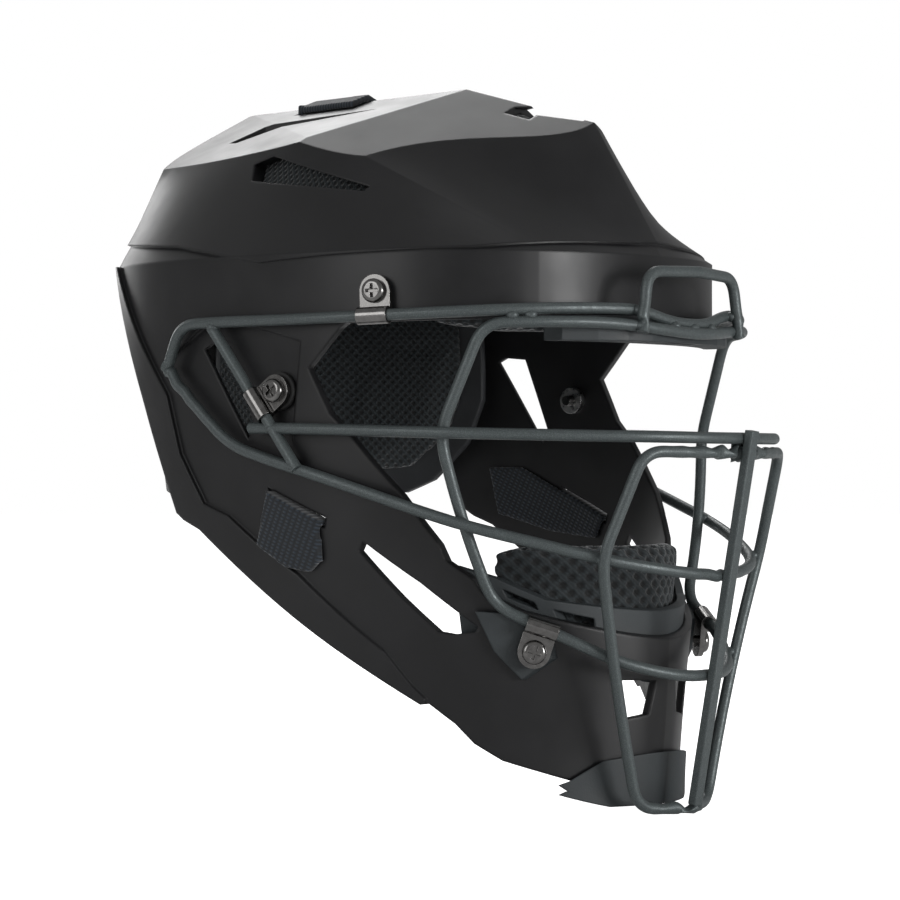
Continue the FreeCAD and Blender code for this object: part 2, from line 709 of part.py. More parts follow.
def chin_bumper():
    """Soft guard wrapped under the point of the chin."""
    guard = band(2.8).cut(band(0.1)).common(side_prism(BUMPER))
    sole = band(2.8).cut(band(-SHELL_WALL - 2)).common(
        side_prism(((-111, -140.6), (-124, -145.4), (-150, -145.4), (-150, -147.6),
                    (-122, -147.6), (-109, -142))))
    return one_solid(guard.fuse(sole).cut(shell))


def clip_pad():
    """Soft triangular pad under the chin clip."""
    pad = band(3.3).cut(band(0.12)).common(side_prism(CLIP_PAD_EDGE, -160, 0))
    return one_solid(pad.cut(screw_bore(CHIN_CLIP, SCREW_SHANK / 2 + 0.25)))


# ---- elastic straps --------------------------------------------------------------------
TOP_TAB = (27.0, 56.0)        # front and rear of the strap end lying on the crown


def side_strap():
    """Elastic from inside the shell, out through the slot and folded back on the outside."""
    tab = band(0.15 + 2 * STRAP_SHEET).cut(band(0.15)).common(side_prism(STRAP_TAB, -160, 0))
    run = band(-SHELL_WALL - 0.15).cut(band(-SHELL_WALL - 0.15 - STRAP_SHEET))
    run = run.common(side_prism(STRAP_RUN, -160, 0))
    neck = band(0.15 + 2 * STRAP_SHEET).cut(band(-SHELL_WALL - 0.15 - STRAP_SHEET))
    neck = neck.common(side_prism(STRAP_PASS, -160, 0))
    return one_solid(tab.fuse(run).fuse(neck))


def top_strap():
    """Elastic from the crown slot, one end on the ridge and one inside toward the plate."""
    half = STRAP_WIDTH / 2
    fall = half * 0.335
    start = RIDGE_HEIGHT + 1.2 - 0.0285 * (TOP_TAB[0] + 27) + 0.2
    gable = [(-half, start - fall), (0, start), (half, start - fall),
             (half, start - fall + 3), (0, start + 3), (-half, start - fall + 3)]
    tab = front_prism(gable, TOP_TAB[0], TOP_TAB[1] + 2.6)
    tab.rotate(V(0, TOP_TAB[0], start), V(1, 0, 0), -1.63)
    inside = side_prism(((56.6, 155), (58.6, 155), (58.6, 150), (99.4, 106.8), (98.0, 105.4),
                         (56.6, 149.2)), -half, half)
    return one_solid(tab.fuse(inside))


# ---- build everything ------------------------------------------------------------------
def clear_of(shape, *others):
    """The same piece with whatever it shares with its neighbours cut away."""
    for other in others:
        shape = shape.cut(other)
    return one_solid(shape)


shell = main_shell()
for label, data in (("top", TOP_CLIP), ("side", SIDE_CLIP), ("chin", CHIN_CLIP)):
    bore = screw_bore(data, SCREW_SHANK / 2 + 0.25)
    shell = shell.cut(bore).cut(mirrored(bore))
shell = one_solid(shell.cut(block(-13.6, 13.6, 55.8, 59.4, 130, 170)))
save("main_shell", shell)

top_rail = open_wire(TOP_RAIL, 8.0)
side_wire = closed_wire(SIDE_WIRE)
nose_bar = open_wire(NOSE_BAR)
drop_bar = tube([V(*DROP_BAR[0][0]), V(*DROP_BAR[0][1])])
save("cage_top_rail", top_rail)
save("cage_side_wire", side_wire)
save("cage_nose_bar", nose_bar)
save("cage_cheek_bar", open_wire(CHEEK_BAR))
save("cage_lower_frame", closed_wire(LOWER_FRAME))
save("cage_center_bar", center_bar())
save("cage_brow_loop", open_wire(BROW_LOOP, 7.0))
save("cage_drop_bar_right", drop_bar)
save("cage_drop_bar_left", mirrored(drop_bar))

for label, data, wires in (("top", TOP_CLIP, (top_rail,)),
                           ("side", SIDE_CLIP, (nose_bar, drop_bar)),
                           ("chin", CHIN_CLIP, (side_wire,))):
    save("clips_" + label, pair(clear_of(clip_solid(data), *wires)))
    save("clip_screws_" + label, pair(pan_screw(data)))
for label, data, gap in (("top", TOP_CLIP, 0.35), ("side", SIDE_CLIP, 0.35 - RECESS_DEPTH),
                         ("chin", CHIN_CLIP, 0.5)):
    save("clip_nuts_" + label, pair(clear_of(wall_nut(data, SHELL_WALL + gap), shell)))
save("side_clip_bushes", pair(bush(SIDE_CLIP, 8.0)))
save("chin_clip_pads", pair(clear_of(clip_pad(), side_wire)))
plate, plate_pad = plate_shells()
save("back_plate", plate)
save("back_plate_pad", plate_pad)
save("plate_rivets", pair(plate_rivet(54, 8)))
save("crown_pad", crown_pad())
save("brow_pad", brow_pad())
save("brow_lip", clear_of(brow_lip(), top_rail))
save("chin_pad", chin_pad())
save("chin_pad_carrier", chin_carrier())
save("chin_bumper", chin_bumper())
strap = clear_of(side_strap(), shell)
save("side_strap_right", strap)
save("side_strap_left", mirrored(strap))
save("top_strap", clear_of(top_strap(), shell))
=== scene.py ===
import json
import math

import bmesh
import bpy
from bpy.props import FloatProperty, FloatVectorProperty, IntProperty, PointerProperty
from mathutils import Matrix, Vector
from mathutils.bvhtree import BVHTree


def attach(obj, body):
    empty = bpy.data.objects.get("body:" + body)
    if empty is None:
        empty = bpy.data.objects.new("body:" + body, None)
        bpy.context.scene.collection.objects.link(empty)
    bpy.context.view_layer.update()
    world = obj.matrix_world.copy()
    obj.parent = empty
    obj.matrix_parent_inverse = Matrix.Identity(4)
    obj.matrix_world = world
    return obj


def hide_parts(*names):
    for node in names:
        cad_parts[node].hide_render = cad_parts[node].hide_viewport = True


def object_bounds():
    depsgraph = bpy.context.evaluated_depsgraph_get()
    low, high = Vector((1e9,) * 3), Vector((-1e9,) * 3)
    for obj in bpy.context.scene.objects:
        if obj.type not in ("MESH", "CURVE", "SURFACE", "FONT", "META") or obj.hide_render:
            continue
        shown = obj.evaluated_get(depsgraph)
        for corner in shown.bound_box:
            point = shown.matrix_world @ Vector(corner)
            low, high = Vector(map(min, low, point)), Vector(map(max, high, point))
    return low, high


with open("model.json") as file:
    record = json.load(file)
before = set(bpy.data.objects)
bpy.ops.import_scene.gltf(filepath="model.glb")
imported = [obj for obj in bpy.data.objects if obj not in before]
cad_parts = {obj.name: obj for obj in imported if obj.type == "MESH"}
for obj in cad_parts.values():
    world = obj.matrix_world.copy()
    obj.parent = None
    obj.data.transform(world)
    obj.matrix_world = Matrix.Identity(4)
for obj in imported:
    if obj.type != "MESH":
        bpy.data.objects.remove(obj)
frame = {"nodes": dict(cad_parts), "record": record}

bl_info = {
    "name": "Catcher Helmet",
    "version": (1, 0, 0),
    "blender": (4, 5, 0),
    "location": "3D View > Sidebar > Helmet",
    "description": "Finishes, pads, straps and welds of a catcher helmet around its fixed frame",
    "category": "Object",
}

CAD_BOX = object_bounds()
HELMET = "helmet"
PLATE = "rear_plate"
CAGE_NODES = ("cage_top_rail", "cage_side_wire", "cage_nose_bar", "cage_cheek_bar",
              "cage_lower_frame", "cage_center_bar", "cage_brow_loop",
              "cage_drop_bar_right", "cage_drop_bar_left")
CLIP_NODES = ("clips_top", "clips_side", "clips_chin",
              "clip_screws_top", "clip_screws_side", "clip_screws_chin")
NUT_NODES = ("clip_nuts_top", "clip_nuts_side", "clip_nuts_chin")
TRIM_NODES = ("brow_lip", "chin_pad_carrier", "chin_bumper", "chin_clip_pads")
ORIGIN = Vector((0.0, 0.0, 0.0))

MERGE_DISTANCE = 0.00001                # points closer than this are one point
MAP_RADIUS = 0.1                        # distance from the middle at which pad cloth is measured
FLAT_NORMAL = 0.75                      # a face that points further up than this is mapped flat
LATTICE_TURN = math.radians(45.0)       # the mesh holes sit on a lattice turned by this
HOLE_REACH = 0.44                       # radius of a mesh hole, as a share of the pitch
HOLE_SHAPE = 0.6                        # below 1 a mesh hole has a flatter bottom
PAD_PRESSURE = 4.0                      # cloth pressure inside a pad
STRAP_SLANT = math.radians(24.6)        # how far a side strap leans back

WELD_SPREAD = 0.012                     # touching points within this share one weld
WELD_SQUASH = (1.15, 1.0, 0.8, 1.0)     # a weld is wider than it is high
WELD_TURN = 0.7                         # turn from each weld to the next

VIEW_AZIMUTH = math.radians(-52.5)
VIEW_ELEVATION = math.radians(-0.5)
VIEW_TARGET = Vector((0.0, -0.018, 0.0))
VIEW_DISTANCE = 1.48
SENSOR_WIDTH = 36.0
LENS = 135.6

FLOOR_RADIUS = 12.0
FLOOR_GAP = 0.001                       # floor below the lowest point
FLOOR_GLOW = 1.0                        # seen by the camera only
SURROUND_SEEN = 1.0
SURROUND_FILL = 0.30                    # light that the surround gives
SOFT_BOXES = (                          # name, place, side, power
    ("front_box", (0.0, -2.1, 0.05), 0.8, 26.0),
    ("top_box", (1.25, 1.25, 1.35), 0.9, 12.0),
    ("side_box", (-2.2, 0.3, 0.7), 1.2, 10.0),
    ("rear_box", (0.6, 2.2, 0.6), 1.0, 12.0),
)


# ---- sizes and colours -------------------------------------------------------------------
class HelmetSizes(bpy.types.PropertyGroup):
    """Sizes that the pads, straps and welds are made to."""

    weld_radius: FloatProperty(name="Weld radius", description="Half the width of a weld bead",
                               default=0.0027, unit="LENGTH")
    weld_reach: FloatProperty(name="Weld reach", description="Gap that a weld still closes",
                              default=0.0005, unit="LENGTH")
    mesh_pitch: FloatProperty(name="Mesh pitch", description="Spacing of the holes in the chin mesh",
                              default=0.0047, unit="LENGTH")
    hole_depth: FloatProperty(name="Hole depth", description="Depth of the holes in the chin mesh",
                              default=0.0013, unit="LENGTH")
    pad_voxel: FloatProperty(name="Pad voxel", description="Grid that a pad is remeshed on",
                             default=0.0042, unit="LENGTH")
    strap_voxel: FloatProperty(name="Strap voxel", description="Grid that a strap is remeshed on",
                               default=0.0008, unit="LENGTH")
    edge_round: FloatProperty(name="Edge rounding", description="Radius that hard edges are shaded to",
                              default=0.0016, unit="LENGTH")
    sim_frames: IntProperty(name="Cloth frames", description="Frames that a pad swells for",
                            default=20)


class HelmetColours(bpy.types.PropertyGroup):
    """Base colours of the finishes."""

    shell: FloatVectorProperty(name="Shell", description="Moulded shell", subtype="COLOR", size=3,
                               default=(0.0125, 0.0125, 0.0135))
    plate: FloatVectorProperty(name="Plate", description="Rear plate", subtype="COLOR", size=3,
                               default=(0.035, 0.037, 0.040))
    cage: FloatVectorProperty(name="Cage", description="Powder coat", subtype="COLOR", size=3,
                              default=(0.105, 0.124, 0.126))
    clip: FloatVectorProperty(name="Clip", description="Black nickel", subtype="COLOR", size=3,
                              default=(0.22, 0.215, 0.21))
    nut: FloatVectorProperty(name="Nut", description="Plain steel", subtype="COLOR", size=3,
                             default=(0.40, 0.40, 0.40))
    pad: FloatVectorProperty(name="Pad", description="Spacer mesh", subtype="COLOR", size=3,
                             default=(0.022, 0.030, 0.034))
    trim: FloatVectorProperty(name="Trim", description="Soft moulded trim", subtype="COLOR", size=3,
                              default=(0.030, 0.036, 0.039))
    rubber: FloatVectorProperty(name="Rubber", description="Clip bush", subtype="COLOR", size=3,
                                default=(0.010, 0.010, 0.010))
    elastic: FloatVectorProperty(name="Elastic", description="Woven strap", subtype="COLOR", size=3,
                                 default=(0.012, 0.018, 0.026))


# ---- materials ---------------------------------------------------------------------------
def new_material(name):
    material = bpy.data.materials.new(name)
    material.use_nodes = True
    nodes = material.node_tree.nodes
    return material, nodes, material.node_tree.links, nodes["Principled BSDF"]


def add_noise(nodes, links, source, scale, detail=2.0, roughness=0.5):
    noise = nodes.new("ShaderNodeTexNoise")
    noise.inputs["Scale"].default_value = scale
    noise.inputs["Detail"].default_value = detail
    noise.inputs["Roughness"].default_value = roughness
    links.new(source, noise.inputs["Vector"])
    return noise.outputs["Fac"]


def add_ramp(nodes, links, source, low, high, start=0.0, end=1.0):
    ramp = nodes.new("ShaderNodeValToRGB")
    ramp.color_ramp.elements[0].position = start
    ramp.color_ramp.elements[0].color = (*low, 1.0)
    ramp.color_ramp.elements[1].position = end
    ramp.color_ramp.elements[1].color = (*high, 1.0)
    links.new(source, ramp.inputs["Fac"])
    return ramp.outputs["Color"]


def add_range(nodes, links, source, low, high, start=0.0, end=1.0):
    spread = nodes.new("ShaderNodeMapRange")
    spread.inputs["From Min"].default_value = start
    spread.inputs["From Max"].default_value = end
    spread.inputs["To Min"].default_value = low
    spread.inputs["To Max"].default_value = high
    links.new(source, spread.inputs["Value"])
    return spread.outputs["Result"]


def add_bump(nodes, links, height, strength, distance, under=None):
    bump = nodes.new("ShaderNodeBump")
    bump.inputs["Strength"].default_value = strength
    bump.inputs["Distance"].default_value = distance
    links.new(height, bump.inputs["Height"])
    if under is not None:
        links.new(under, bump.inputs["Normal"])
    return bump.outputs["Normal"]


def add_bevel(nodes, radius):
    bevel = nodes.new("ShaderNodeBevel")
    bevel.samples = 6
    bevel.inputs["Radius"].default_value = radius
    return bevel.outputs["Normal"]


def object_coords(nodes):
    return nodes.new("ShaderNodeTexCoord").outputs["Object"]


def scaled(colour, factor):
    return tuple(min(1.0, value * factor) for value in colour)


def moulded_plastic(name, colour, rough, radius):
    """Satin moulded plastic with a faint grain, uneven sheen and softened edges."""
    material, nodes, links, shader = new_material(name)
    place = object_coords(nodes)
    cloud = add_noise(nodes, links, place, 38.0, 3.0)
    grain = add_noise(nodes, links, place, 2600.0, 1.0)
    links.new(add_ramp(nodes, links, cloud, scaled(colour, 0.85), scaled(colour, 1.2), 0.3, 0.7),
              shader.inputs["Base Color"])
    links.new(add_range(nodes, links, cloud, rough - 0.04, rough + 0.05, 0.3, 0.7),
              shader.inputs["Roughness"])
    normal = add_bump(nodes, links, grain, 0.12, 0.00006, add_bevel(nodes, radius))
    links.new(normal, shader.inputs["Normal"])
    shader.inputs["Specular IOR Level"].default_value = 0.42
    return material


def powder_coat(name, colour):
    """Textured powder coat with fine metal flake."""
    material, nodes, links, shader = new_material(name)
    place = object_coords(nodes)
    peel = add_noise(nodes, links, place, 900.0, 2.0)
    flake = nodes.new("ShaderNodeTexVoronoi")
    flake.inputs["Scale"].default_value = 2800.0
    links.new(place, flake.inputs["Vector"])
    links.new(add_ramp(nodes, links, flake.outputs["Distance"], scaled(colour, 1.9),
                       scaled(colour, 0.75), 0.05, 0.45), shader.inputs["Base Color"])
    links.new(add_range(nodes, links, peel, 0.36, 0.52, 0.3, 0.7), shader.inputs["Roughness"])
    links.new(add_bump(nodes, links, peel, 0.25, 0.00012), shader.inputs["Normal"])
    shader.inputs["Metallic"].default_value = 0.35
    return material


def plated_metal(name, colour, rough, radius):
    """Plated sheet metal with faint drawing lines."""
    material, nodes, links, shader = new_material(name)
    place = object_coords(nodes)
    smear = add_noise(nodes, links, place, 420.0, 3.0)
    links.new(add_ramp(nodes, links, smear, scaled(colour, 0.8), scaled(colour, 1.15), 0.3, 0.7),
              shader.inputs["Base Color"])
    links.new(add_range(nodes, links, smear, rough * 0.75, rough * 1.35, 0.3, 0.7),
              shader.inputs["Roughness"])
    links.new(add_bevel(nodes, radius), shader.inputs["Normal"])
    shader.inputs["Metallic"].default_value = 1.0
    return material


def soft_rubber(name, colour, rough):
    """Matt moulded rubber with a pebbled skin."""
    material, nodes, links, shader = new_material(name)
    place = object_coords(nodes)
    cloud = add_noise(nodes, links, place, 60.0, 3.0)
    pebble = nodes.new("ShaderNodeTexVoronoi")
    pebble.inputs["Scale"].default_value = 1300.0
    links.new(place, pebble.inputs["Vector"])
    links.new(add_ramp(nodes, links, cloud, scaled(colour, 0.8), scaled(colour, 1.25), 0.3, 0.7),
              shader.inputs["Base Color"])
    links.new(add_range(nodes, links, cloud, rough - 0.06, rough + 0.08, 0.3, 0.7),
              shader.inputs["Roughness"])
    normal = add_bump(nodes, links, pebble.outputs["Distance"], 0.3, 0.0001,
                      add_bevel(nodes, 0.0009))
    links.new(normal, shader.inputs["Normal"])
    return material


def lattice(nodes, links, pitch):
    """Distance from the nearest point of an offset lattice on the piece's cloth map."""
    cloth = nodes.new("ShaderNodeUVMap")
    cloth.uv_map = "cloth"
    turn = nodes.new("ShaderNodeMapping")
    turn.inputs["Rotation"].default_value = (0.0, 0.0, LATTICE_TURN)
    links.new(cloth.outputs["UV"], turn.inputs["Vector"])
    dots = nodes.new("ShaderNodeTexVoronoi")
    dots.voronoi_dimensions = "2D"
    dots.inputs["Scale"].default_value = 1.0 / pitch
    dots.inputs["Randomness"].default_value = 0.0
    links.new(turn.outputs["Vector"], dots.inputs["Vector"])
    return dots.outputs["Distance"], cloth.outputs["UV"]


def spacer_mesh(name, colour, pitch, depth):
    """Knitted spacer mesh: holes on an offset lattice, with threads between them, and painted shade
    that darkens each hole towards its middle.
    """
    material, nodes, links, shader = new_material(name)
    dots, cloth = lattice(nodes, links, pitch)
    threads = nodes.new("ShaderNodeTexWave")
    threads.wave_type = "BANDS"
    threads.bands_direction = "DIAGONAL"
    threads.inputs["Scale"].default_value = 330.0
    threads.inputs["Distortion"].default_value = 2.0
    links.new(cloth, threads.inputs["Vector"])
    # painted shade: the colour falls to 16% of the base at the middle of each hole, standing in for
    # the shade inside it
    painted_hole_shade = add_ramp(nodes, links, dots, scaled(colour, 0.16), colour, 0.22, 0.42)
    shade = nodes.new("ShaderNodeMix")
    shade.data_type = "RGBA"
    shade.blend_type = "MULTIPLY"
    shade.inputs["Factor"].default_value = 0.45
    links.new(painted_hole_shade, shade.inputs["A"])
    links.new(threads.outputs["Color"], shade.inputs["B"])
    links.new(shade.outputs["Result"], shader.inputs["Base Color"])
    hollow = add_range(nodes, links, dots, 0.0, 1.0, 0.2, 0.46)
    lower = add_bump(nodes, links, hollow, 0.8, depth)
    links.new(add_bump(nodes, links, threads.outputs["Fac"], 0.5, 0.00018, lower),
              shader.inputs["Normal"])
    shader.inputs["Roughness"].default_value = 0.78
    shader.inputs["Sheen Weight"].default_value = 0.35
    shader.inputs["Sheen Roughness"].default_value = 0.45
    return material


def woven_elastic(name, colour):
    """Ribbed elastic: fine cords along the strap crossed by close picks."""
    material, nodes, links, shader = new_material(name)
    cloth = nodes.new("ShaderNodeUVMap")
    cloth.uv_map = "cloth"
    waves = []
    for direction, scale in (("X", 118.0), ("Y", 210.0)):
        wave = nodes.new("ShaderNodeTexWave")
        wave.wave_type = "BANDS"
        wave.bands_direction = direction
        wave.inputs["Scale"].default_value = scale
        wave.inputs["Distortion"].default_value = 0.6
        links.new(cloth.outputs["UV"], wave.inputs["Vector"])
        waves.append(wave.outputs["Fac"])
    weave = nodes.new("ShaderNodeMath")
    weave.operation = "MULTIPLY"
    links.new(waves[0], weave.inputs[0])
    links.new(waves[1], weave.inputs[1])
    links.new(add_ramp(nodes, links, weave.outputs["Value"], scaled(colour, 0.45),
                       scaled(colour, 2.1), 0.05, 0.85), shader.inputs["Base Color"])
    links.new(add_bump(nodes, links, weave.outputs["Value"], 0.8, 0.0004),
              shader.inputs["Normal"])
    shader.inputs["Roughness"].default_value = 0.74
    shader.inputs["Sheen Weight"].default_value = 0.3
    return material


def finishes():
    """Every material, made once."""
    if "shell_plastic_finish" in bpy.data.materials:
        return
    colours = bpy.context.scene.helmet_colours
    sizes = bpy.context.scene.helmet_sizes
    moulded_plastic("shell_plastic_finish", colours.shell, 0.37, sizes.edge_round)
    moulded_plastic("plate_plastic_finish", colours.plate, 0.5, sizes.edge_round)
    powder_coat("cage_coat_finish", colours.cage)
    plated_metal("clip_metal_finish", colours.clip, 0.17, 0.0004)
    plated_metal("nut_metal_finish", colours.nut, 0.3, 0.0004)
    spacer_mesh("chin_mesh_finish", colours.pad, sizes.mesh_pitch, 0.0004)
    spacer_mesh("pad_mesh_finish", colours.pad, sizes.mesh_pitch * 0.62, 0.0008)
    soft_rubber("trim_finish", colours.trim, 0.55)
    soft_rubber("rubber_finish", colours.rubber, 0.6)
    woven_elastic("elastic_finish", colours.elastic)


def coat(thing, material_name):
    """Give every material slot of a thing the same finish."""
    material = bpy.data.materials[material_name]
    if not thing.material_slots:
        thing.data.materials.append(material)
    for place in thing.material_slots:
        place.material = material


# ---- mesh work ---------------------------------------------------------------------------
def copy_of(node, name):
    """A merged copy of a frame node's mesh, as a new piece."""
    mesh = frame["nodes"][node].data.copy()
    mesh.name = name
    mesh.materials.clear()
    shape = bmesh.new()
    shape.from_mesh(mesh)
    bmesh.ops.remove_doubles(shape, verts=shape.verts, dist=MERGE_DISTANCE)
    shape.to_mesh(mesh)
    shape.free()
    piece = bpy.data.objects.new(name, mesh)
    bpy.context.scene.collection.objects.link(piece)
    return piece


def baked(piece):
    """Apply every modifier of a piece to its mesh."""
    view = bpy.context.evaluated_depsgraph_get()
    view.update()
    mesh = bpy.data.meshes.new_from_object(piece.evaluated_get(view))
    piece.modifiers.clear()
    piece.data = mesh
    return piece


def remeshed(piece, voxel):
    grid = piece.modifiers.new("grid", "REMESH")
    grid.mode = "VOXEL"
    grid.voxel_size = voxel
    grid.use_smooth_shade = True
    return baked(piece)


def eased(piece, factor, repeat, inset=0.0):
    """Smooth a piece and move its surface inward by inset."""
    shape = bmesh.new()
    shape.from_mesh(piece.data)
    for _ in range(repeat):
        bmesh.ops.smooth_vert(shape, verts=shape.verts, factor=factor, use_axis_x=True,
                              use_axis_y=True, use_axis_z=True)
    shape.normal_update()
    for vert in shape.verts:
        vert.co -= vert.normal * inset
    shape.to_mesh(piece.data)
    shape.free()
    return piece


def swollen(piece, pressure, limit):
    """Swell a closed cushion by cloth pressure, no point moving further than limit."""
    scene = bpy.context.scene
    start = [vert.co.copy() for vert in piece.data.vertices]
    cloth = piece.modifiers.new("swell", "CLOTH")
    cloth.settings.quality = 6
    cloth.settings.mass = 0.3
    cloth.settings.tension_stiffness = 25.0
    cloth.settings.compression_stiffness = 25.0
    cloth.settings.use_pressure = True
    cloth.settings.uniform_pressure_force = pressure
    cloth.settings.effector_weights.gravity = 0.0
    cloth.point_cache.frame_start = 1
    cloth.point_cache.frame_end = scene.helmet_sizes.sim_frames
    for number in range(1, scene.helmet_sizes.sim_frames + 1):
        scene.frame_set(number)
    view = bpy.context.evaluated_depsgraph_get()
    result = piece.evaluated_get(view).data
    ends = [vert.co.copy() for vert in result.vertices]
    piece.modifiers.clear()
    scene.frame_set(1)
    for vert, before, after in zip(piece.data.vertices, start, ends):
        step = after - before
        if step.length > limit:
            step *= limit / step.length
        vert.co = before + step
    return piece


def subdivided(piece, levels):
    finer = piece.modifiers.new("finer", "SUBSURF")
    finer.levels = levels
    finer.render_levels = levels
    return baked(piece)


def cloth_point(point, normal, facing):
    """Place of a point on the cloth, measured round the head, with facing -1 for the front."""
    around = math.atan2(point.x, facing * point.y) * MAP_RADIUS
    if abs(normal.z) > FLAT_NORMAL:
        return around, math.hypot(point.x, point.y)
    return around, point.z


def map_cloth(piece, facing):
    """Cloth map of a pad, face by face."""
    shape = bmesh.new()
    shape.from_mesh(piece.data)
    layer = shape.loops.layers.uv.new("cloth")
    for face in shape.faces:
        for loop in face.loops:
            loop[layer].uv = cloth_point(loop.vert.co, face.normal, facing)
    shape.to_mesh(piece.data)
    shape.free()


def map_strap(piece, along, across):
    """Cloth map of a strap from its own two directions."""
    shape = bmesh.new()
    shape.from_mesh(piece.data)
    layer = shape.loops.layers.uv.new("cloth")
    for face in shape.faces:
        for loop in face.loops:
            loop[layer].uv = (loop.vert.co.dot(across), loop.vert.co.dot(along))
    shape.to_mesh(piece.data)
    shape.free()


def dimpled(piece, facing, pitch, depth):
    """Press the mesh holes into the surface of a pad."""
    turn = Matrix.Rotation(LATTICE_TURN, 2)
    shape = bmesh.new()
    shape.from_mesh(piece.data)
    shape.normal_update()
    for vert in shape.verts:
        spot = turn @ Vector(cloth_point(vert.co, vert.normal, facing)) / pitch
        away = math.hypot(spot.x - round(spot.x), spot.y - round(spot.y))
        hollow = max(0.0, 1.0 - away / HOLE_REACH)
        vert.co -= vert.normal * depth * hollow ** HOLE_SHAPE
    shape.to_mesh(piece.data)
    shape.free()


def shaded_smooth(piece):
    for face in piece.data.polygons:
        face.use_smooth = True


def cushion(node, name, facing, finish, voxel, inset, limit, levels):
    """A pad that stands for one soft frame node."""
    piece = copy_of(node, name)
    remeshed(piece, voxel)
    eased(piece, 0.5, 3, inset)
    swollen(piece, PAD_PRESSURE, limit)
    subdivided(piece, levels)
    map_cloth(piece, facing)
    shaded_smooth(piece)
    coat(piece, finish)
    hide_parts(node)
    return piece


def strap(node, name, along, across):
    """An elastic strap with soft edges that stands for one frame node."""
    piece = copy_of(node, name)
    remeshed(piece, bpy.context.scene.helmet_sizes.strap_voxel)
    eased(piece, 0.5, 4)
    map_strap(piece, along, across)
    shaded_smooth(piece)
    coat(piece, "elastic_finish")
    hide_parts(node)
    return piece


# ---- operators ---------------------------------------------------------------------------
class HELMET_OT_hard_parts(bpy.types.Operator):
    """Give the shell, plate, cage, clips, nuts and trim their finishes"""

    bl_idname = "helmet.hard_parts"
    bl_label = "Hard parts"

    def execute(self, context):
        finishes()
        nodes = frame["nodes"]
        coat(nodes["main_shell"], "shell_plastic_finish")
        coat(nodes["side_clip_bushes"], "rubber_finish")
        for name in ("back_plate", "plate_rivets"):
            coat(nodes[name], "plate_plastic_finish")
        for group, finish in ((CAGE_NODES, "cage_coat_finish"), (CLIP_NODES, "clip_metal_finish"),
                              (NUT_NODES, "nut_metal_finish"), (TRIM_NODES, "trim_finish")):
            for name in group:
                coat(nodes[name], finish)
        return {"FINISHED"}


def touch_points(first, second, reach):
    """Middles of the places where two frame nodes touch."""
    tree = BVHTree.FromObject(frame["nodes"][second], bpy.context.evaluated_depsgraph_get())
    groups = []
    for vert in frame["nodes"][first].data.vertices:
        near, _, _, gap = tree.find_nearest(vert.co)
        if near is None or gap > reach:
            continue
        for group in groups:
            if (group[0] - vert.co).length < WELD_SPREAD:
                group.append(vert.co.copy())
                break
        else:
            groups.append([vert.co.copy()])
    return [sum(group, Vector()) / len(group) for group in groups]


class HELMET_OT_welds(bpy.types.Operator):
    """Lay a small weld bead wherever two cage wires touch"""

    bl_idname = "helmet.welds"
    bl_label = "Cage welds"

    def execute(self, context):
        sizes = context.scene.helmet_sizes
        spots = []
        for first, second in frame["record"]["behaviour"]["press_fits"]:
            spots += touch_points(first, second, sizes.weld_reach)
        if not spots:
            raise RuntimeError("no two cage wires touch")
        shape = bmesh.new()
        squeeze = Matrix.Diagonal(WELD_SQUASH)
        for index, spot in enumerate(spots):
            turn = Matrix.Rotation(index * WELD_TURN, 4, "Z")
            bmesh.ops.create_icosphere(shape, subdivisions=3, radius=sizes.weld_radius,
                                       matrix=Matrix.Translation(spot) @ turn @ squeeze)
        mesh = bpy.data.meshes.new("cage_welds")
        shape.to_mesh(mesh)
        shape.free()
        piece = bpy.data.objects.new("cage_welds", mesh)
        context.scene.collection.objects.link(piece)
        shaded_smooth(piece)
        coat(piece, "cage_coat_finish")
        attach(piece, HELMET)
        return {"FINISHED"}


class HELMET_OT_chin_cushion(bpy.types.Operator):
    """Swell the chin cushion and press its mesh holes"""

    bl_idname = "helmet.chin_cushion"
    bl_label = "Chin cushion"

    def execute(self, context):
        sizes = context.scene.helmet_sizes
        piece = cushion("chin_pad", "chin_cushion", -1, "chin_mesh_finish", sizes.pad_voxel,
                        inset=0.0015, limit=0.006, levels=2)
        dimpled(piece, -1, sizes.mesh_pitch, sizes.hole_depth)
        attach(piece, HELMET)
        return {"FINISHED"}


class HELMET_OT_head_pads(bpy.types.Operator):
    """Make the brow, crown and rear pads"""

    bl_idname = "helmet.head_pads"
    bl_label = "Head pads"

    def execute(self, context):
        voxel = context.scene.helmet_sizes.pad_voxel
        for node, name, facing, body in (("brow_pad", "brow_cushion", -1, HELMET),
                                         ("crown_pad", "crown_cushion", -1, HELMET),
                                         ("back_plate_pad", "rear_cushion", 1, PLATE)):
            piece = cushion(node, name, facing, "pad_mesh_finish", voxel,
                            inset=0.001, limit=0.0022, levels=1)
            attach(piece, body)
        return {"FINISHED"}


class HELMET_OT_straps(bpy.types.Operator):
    """Make the elastic straps with soft edges"""

    bl_idname = "helmet.straps"
    bl_label = "Straps"

    def execute(self, context):
        across = Vector((0.0, math.cos(STRAP_SLANT), math.sin(STRAP_SLANT)))
        along = Vector((0.0, -math.sin(STRAP_SLANT), math.cos(STRAP_SLANT)))
        for side in ("right", "left"):
            piece = strap("side_strap_" + side, "side_elastic_" + side, along, across)
            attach(piece, HELMET)
        piece = strap("top_strap", "top_elastic", Vector((0.0, 1.0, 0.0)), Vector((1.0, 0.0, 0.0)))
        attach(piece, HELMET)
        return {"FINISHED"}


# ---- stage -------------------------------------------------------------------------------
def soft_light(name, place, size, power):
    """A square soft box that looks at the middle of the helmet."""
    lamp = bpy.data.lights.new(name, "AREA")
    lamp.shape = "SQUARE"
    lamp.size = size
    lamp.energy = power
    holder = bpy.data.objects.new(name, lamp)
    holder.location = place
    holder.rotation_euler = (ORIGIN - Vector(place)).to_track_quat("-Z", "Y").to_euler()
    bpy.context.scene.collection.objects.link(holder)


